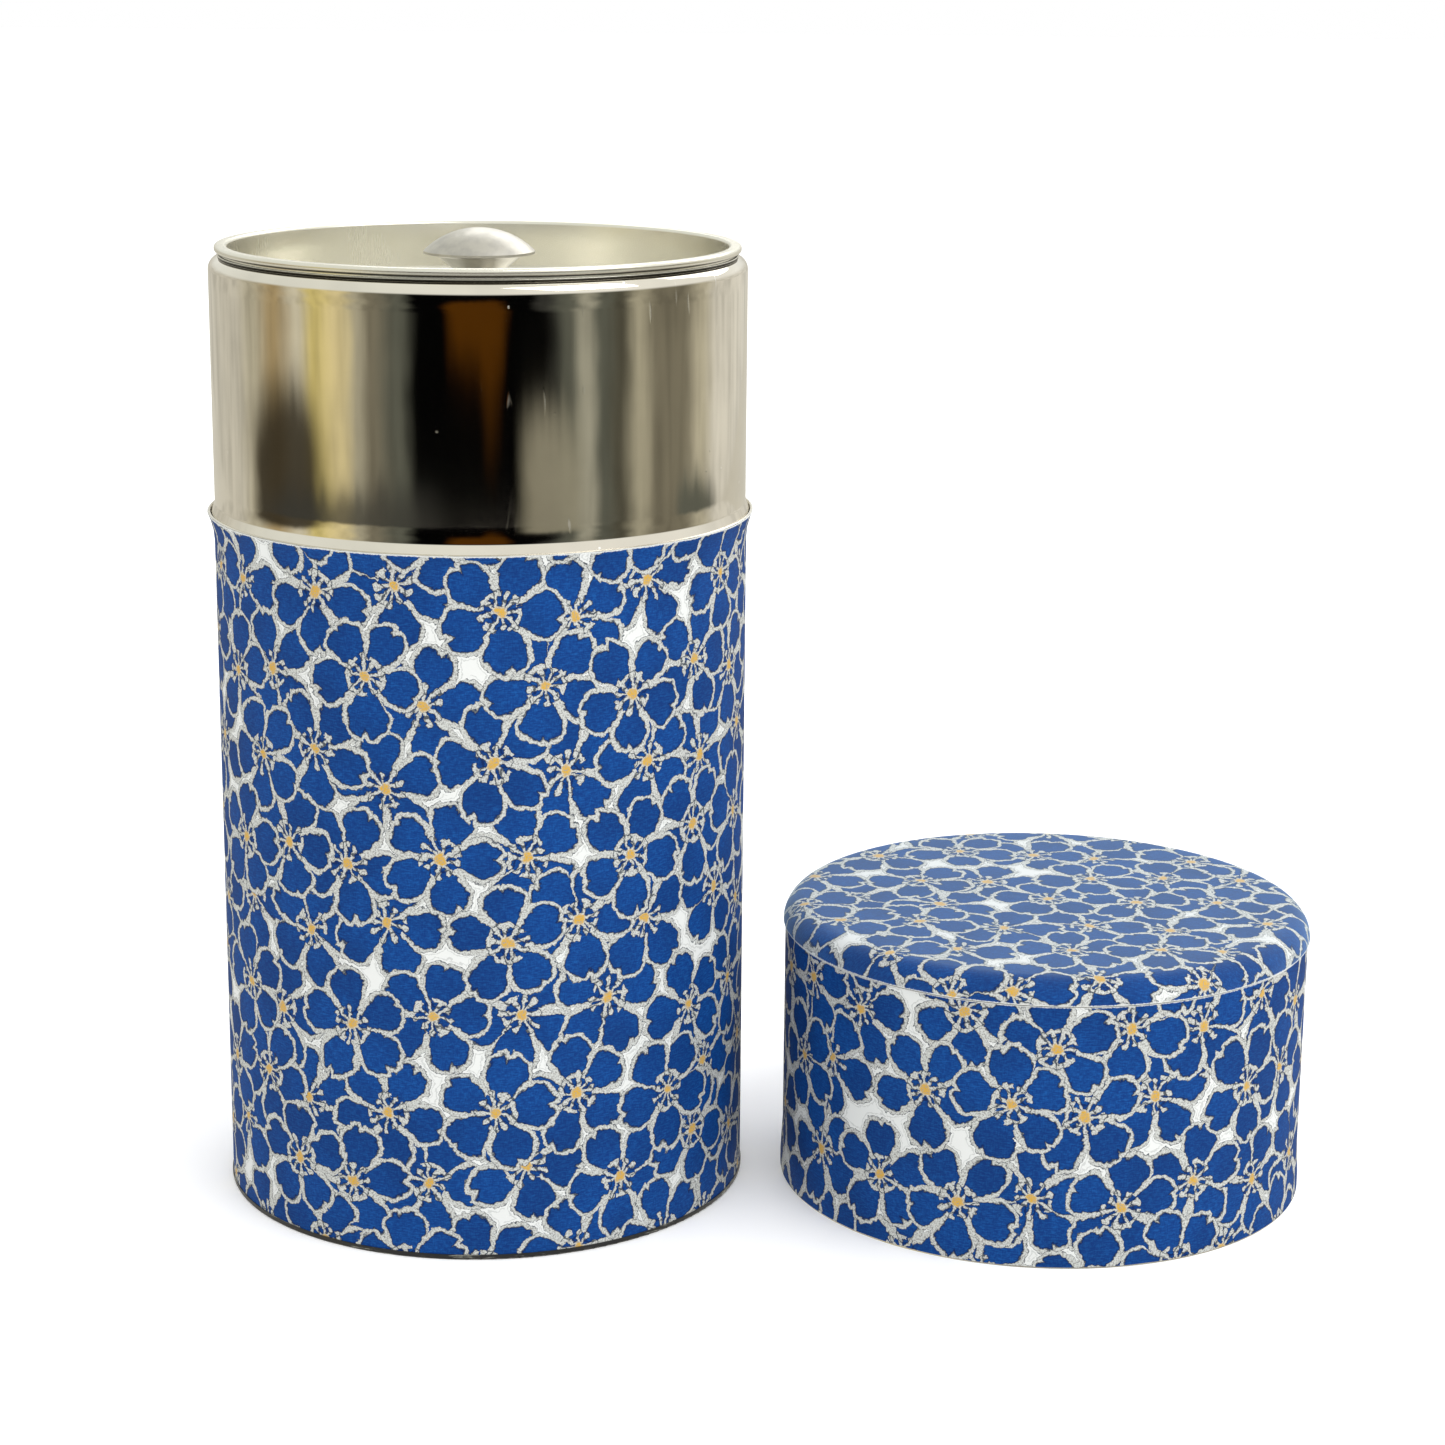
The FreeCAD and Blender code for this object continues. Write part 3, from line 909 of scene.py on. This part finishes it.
def knob():
    rim_top = knob_top - knob_dome
    rim_bottom = rim_top - knob_rim
    cone_top = rim_bottom - knob_rim
    dome_radius = (knob_radius ** 2 + knob_dome ** 2) / (2 * knob_dome)
    dome_reach = atan2(knob_radius, dome_radius - knob_dome)
    dome = [(dome_radius * sin(dome_reach * i / DOME_STEPS),
             knob_top - dome_radius + dome_radius * cos(dome_reach * i / DOME_STEPS))
            for i in range(DOME_STEPS + 1)]
    side = rounded([(knob_radius, rim_top, 0), (knob_radius, rim_bottom, 0),
                    (knob_cone_radius, cone_top, knob_rim_bend),
                    (knob_neck_radius, cone_top - knob_cone_height, knob_neck_bend),
                    (knob_neck_radius, dish_floor + knob_foot_height, knob_neck_bend),
                    (knob_foot_radius, dish_floor, 0), (0, dish_floor, 0)], radians(7))
    section = subdivided(tidy(dome + side), 0.8 * MM)

    def warp(r, z, angle):
        if z <= rim_top:
            return r, z
        away = hypot(r * cos(angle) - dome_pit_place[0], r * sin(angle) - dome_pit_place[1])
        return r, z - dome_pit_depth * max(0.0, 1 - away / dome_pit_radius)

    piece = turned("knob_turned", section[:-1], section[-1:], TIN_AXIS, stations(AROUND_KNOB), warp)
    place_piece(piece, "inner_lid", "knob",
                aluminium_material("aluminium_turned"))


def cap_side():
    path = [(cap_mouth_radius, cap_paper_bottom, 0),
            (cap_mouth_radius, cap_flare_straight, cap_flare_bend),
            (cap_radius, cap_flare_height, cap_flare_bend), (cap_radius, cap_paper_top, 0)]
    visible, hidden = pressed(shifted(path, paper), paper)

    def warp(r, z, angle):
        lowest = max(0.0, 1 - (z - cap_paper_bottom) / cap_ragged_band)
        z += cap_ragged_depth * lowest * max(0.0, wander(angle, 0, scale=8, seed=12))
        if r > cap_radius + paper / 2 and z > cap_flare_height + 2 * MM:
            r += paper * seam_step(angle, cap_radius, overlap_width)
        return r + paper_ripple * (wander(angle, z, scale=5, seed=21) - 1), z

    laid = WrappedSheet(cap_radius + paper, visible)
    piece = turned("cap_side_wrap", visible, hidden, CAP_AXIS,
                   stations(AROUND, seam_angles(cap_radius)), warp, laid)
    place_piece(piece, "cap", "cap_side_paper",
                paper_material("washi_cap_side", printed, 17.0, laid))


def cap_top_cover():
    path = [(cap_top_radius, cap_seam, 0), (cap_top_radius, cap_top, cap_shoulder + paper),
            (0, cap_top, 0)]
    visible, hidden = pressed(path, paper)

    def warp(r, z, angle):
        if z <= cap_seam + MM:
            return r, z
        rim = max(0.0, 1 - abs(cap_top_radius - r) / (5 * MM))
        sag = 0.02 * (1 + wander(angle, r * 8, scale=3, seed=31)) \
            + 0.006 * rim * (1 + wander(angle, 0, scale=30, seed=33))
        return r, z - sag * MM

    laid = DiscSheet(visible)
    piece = turned("cap_top_cover", visible, hidden, CAP_AXIS, stations(AROUND), warp, laid)
    place_piece(piece, "cap", "cap_top_paper",
                paper_material("washi_cap_top", printed, 29.0, laid, sheen=0.36))


def finish_cad_nodes():
    """The CAD nodes that keep their own mesh get their materials."""
    plain = tin_material("tinplate_plain", (0.76, 0.73, 0.66), 0.2)
    cap_plain = tin_material("tinplate_cap", (0.76, 0.73, 0.66), 0.2, CAP_AXIS)
    dark = dark_tin_material("tinplate_dark")
    rivet = aluminium_material("aluminium_rivet")
    for node, material in (("body_can", plain), ("base_plate", dark), ("cap_ring", cap_plain),
                           ("cap_top_plate", cap_plain), ("knob_rivet", rivet)):
        mesh = frame["nodes"][node].data
        mesh.materials.clear()
        mesh.materials.append(material)


# ---- Stage ---------------------------------------------------------------------------------------

FLOOR_SIZE = 12.0
CAMERA_PLACE = (36.63 * MM, -472.79 * MM, 188.75 * MM)
CAMERA_PITCH = radians(13.908)
CAMERA_ROLL = radians(0.504)
CAMERA_LENS_MM = 79.02
CAMERA_SENSOR_MM = 36


def floor():
    half = FLOOR_SIZE / 2
    mesh = bpy.data.meshes.new("floor")
    mesh.from_pydata([(-half, -half, 0), (half, -half, 0), (half, half, 0), (-half, half, 0)], [],
                     [(0, 1, 2, 3)])
    plane = bpy.data.objects.new("floor", mesh)
    bpy.context.scene.collection.objects.link(plane)
    material, tree, shader, place = new_material("pale_floor", (0.9, 0.9, 0.9))
    plug(tree, blended(tree, noise_of(tree, place, 30, detail=3, rough=0.6), (0.94, 0.94, 0.935),
                       (0.955, 0.955, 0.95)), shader.inputs["Base Color"])
    shader.inputs["Roughness"].default_value = 0.9
    shader.inputs["Emission Color"].default_value = (1, 1, 1, 1)
    shader.inputs["Emission Strength"].default_value = 0.12
    mesh.materials.append(material)
    plane.visible_glossy = False


PALE_WALL = (0.66, 0.63, 0.54)
LIGHT_WALL = (0.80, 0.77, 0.68)
WARM_WALL = (0.72, 0.67, 0.52)
LIGHT_SAND = (0.57, 0.53, 0.40)
SAND = (0.45, 0.42, 0.31)
OAK = (0.47, 0.36, 0.19)
YELLOW = (0.74, 0.62, 0.24)
PALE_YELLOW = (0.82, 0.70, 0.38)
ASH = (0.40, 0.39, 0.31)
STONE = (0.22, 0.20, 0.145)
SLATE = (0.12, 0.125, 0.10)
DARK_SLATE = (0.095, 0.09, 0.065)
DARK_OAK = (0.040, 0.032, 0.020)
SHADE = (0.045, 0.045, 0.04)
BLACK = (0.001, 0.001, 0.001)
AMBER = (0.085, 0.029, 0.002)
CEILING_LEFT = (0.84, 0.85, 0.79)
CEILING_RIGHT = (1.0, 0.99, 0.93)
TABLE_TOP = (0.82, 0.81, 0.77)
BACK_WHITE = (1.0, 1.0, 1.0)
FRONT_LEFT = (1.17, 1.16, 1.15)
FRONT_RIGHT = (1.60, 1.63, 1.68)

# The room that the bright tin mirrors. Headings are in degrees, 0 towards the camera and more to
# its right; rise is in degrees above the horizon.
# (heading, colour of the walls there)
ROOM = ((-180, PALE_WALL), (-121, PALE_WALL), (-107, LIGHT_SAND), (-91, OAK),
        (-79, WARM_WALL), (-69, YELLOW), (-57, PALE_YELLOW), (-48, SAND), (-42, STONE),
        (-30, SLATE), (-22, BLACK), (24, BLACK), (31, SHADE), (41, SLATE), (50, ASH),
        (57, SLATE), (65, DARK_SLATE), (75, SAND), (85, STONE), (99, STONE),
        (112, LIGHT_SAND), (126, LIGHT_WALL), (155, LIGHT_WALL), (180, PALE_WALL))
# (colour, middle, half size, softness of the edge, strength, power) of soft shapes on the walls;
# a power of 2 makes an oval, and higher ones are squarer
SHAPES = ((DARK_OAK, (-87, -9.7), (20.5, 1.9), 0.32, 0.95, 3),
          (SHADE, (-58, -10.8), (42, 1.1), 0.3, 0.85, 4),
          (SAND, (34, -10.2), (13, 1.9), 0.35, 0.6, 3),
          (SLATE, (111, -11.0), (14, 1.5), 0.25, 1.0, 4),
          (BLACK, (27, -7.2), (9, 1.2), 0.5, 1.0, 2),
          (AMBER, (2.5, -5.4), (11.5, 2.1), 0.3, 1.0, 4),
          (AMBER, (9.5, -6.0), (5, 2.4), 0.6, 0.8, 2))
SWAY = 9                     # degrees that the walls' edges wander sideways
TABLE_EDGE = -10.9           # rise of the table's edge in front of the walls
TABLE_CORNER = 108           # heading where it starts to run up


def soft_shape(tree, walls, place, shape):
    """The walls with one of the SHAPES on them; place is (heading, rise)."""
    color, middle, half_size, softness, strength, power = shape
    across, up = (abs((at - centre) / size).math("POWER", power)
                  for at, centre, size in zip(place, middle, half_size))
    far = (across + up).math("POWER", 1 / power)
    return blended(tree, far.between(1 + softness, 1 - softness, 0, strength), walls, color)


def mirrored_room(tree, x, y, z):
    """What the tin mirrors in a direction: walls, the table in front of them and a ceiling."""
    heading = x.math("ARCTAN2", -y) * (180 / pi)
    rise = z.math("ARCSINE") * (180 / pi)
    cloud = noise_of(tree, vector_of(tree, heading * 0.07, rise * 0.55, 4.0), 1.0, 2, 0.6)
    fold = noise_of(tree, vector_of(tree, heading * 0.17, rise * 0.3, 9.0), 1.0, 2, 0.6)
    bent = heading + (cloud - 0.5) * SWAY

    ramp = add_node(tree, "ShaderNodeValToRGB", Fac=bent / 360 + 0.5)
    stops = ramp.color_ramp
    stops.interpolation = "EASE"
    while len(stops.elements) < len(ROOM):
        stops.elements.new(0.5)
    for stop, (degrees_round, color) in zip(stops.elements, ROOM):
        stop.position = degrees_round / 360 + 0.5
        stop.color = (*color, 1)

    view = blended(tree, fold.between(0.35, 0.75, 0, 0.25), ramp.outputs["Color"], BLACK)
    for shape in SHAPES:
        view = soft_shape(tree, view, (bent, rise + (fold - 0.5)), shape)
    corner = (heading / TABLE_CORNER).math("POWER", 6)
    view = blended(tree, (rise - TABLE_EDGE - corner * 0.35).between(0.15, -0.35), view, PALE_WALL)
    ceiling = blended(tree, x.between(-0.8, 0.8), CEILING_LEFT, CEILING_RIGHT)
    view = blended(tree, rise.between(-1, 12), view, ceiling)
    table_top = blended(tree, 0.45, TABLE_TOP, ramp.outputs["Color"])
    return blended(tree, rise.between(-13, -22), view, table_top)


def room():
    """A pale room for everything, and for glossy surfaces the walls of a room round the table."""
    world = bpy.data.worlds.new("room")
    bpy.context.scene.world = world
    world.use_nodes = True
    tree = world.node_tree
    x, y, z = split(tree, add_node(tree, "ShaderNodeTexCoord").outputs["Generated"])
    front = blended(tree, x.between(-1, 1), FRONT_LEFT, FRONT_RIGHT)
    soft = blended(tree, y.between(0.3, -0.8), BACK_WHITE, front)
    glossy = Value(tree, add_node(tree, "ShaderNodeLightPath").outputs["Is Glossy Ray"])
    background = tree.nodes["Background"]
    plug(tree, blended(tree, glossy, soft, mirrored_room(tree, x, y, z)),
         background.inputs["Color"])
    background.inputs["Strength"].default_value = 1.0


def area_light(name, place, aim, size, power):
    data = bpy.data.lights.new(name, "AREA")
    data.shape = "RECTANGLE"
    data.size, data.size_y = size
    data.energy = power
    lamp = bpy.data.objects.new(name, data)
    lamp.location = place
    lamp.rotation_euler = (Vector(aim) - Vector(place)).to_track_quat("-Z", "Y").to_euler()
    bpy.context.scene.collection.objects.link(lamp)


def camera():
    data = bpy.data.cameras.new("camera")
    data.lens, data.sensor_width = CAMERA_LENS_MM, CAMERA_SENSOR_MM
    data.clip_start, data.clip_end = 0.01, 50
    eye = bpy.data.objects.new("camera", data)
    tilt = Matrix.Rotation(pi / 2 - CAMERA_PITCH, 4, "X") @ Matrix.Rotation(CAMERA_ROLL, 4, "Z")
    eye.matrix_world = Matrix.Translation(CAMERA_PLACE) @ tilt
    bpy.context.scene.collection.objects.link(eye)
    bpy.context.scene.camera = eye


body_paper()
collar()
inner_lid()
knob()
cap_side()
cap_top_cover()
finish_cad_nodes()
floor()
room()
middle = ((CAP_AXIS[0] + TIN_AXIS[0]) / 2, 0, lip_height / 2)
area_light("key", place=(0.75, -0.45, 1.1), aim=middle, size=(0.9, 0.9), power=6)
area_light("back", place=(0.4, 1.0, 0.9), aim=middle, size=(1.4, 0.7), power=5)
camera()
bpy.context.scene.view_settings.view_transform = "Standard"
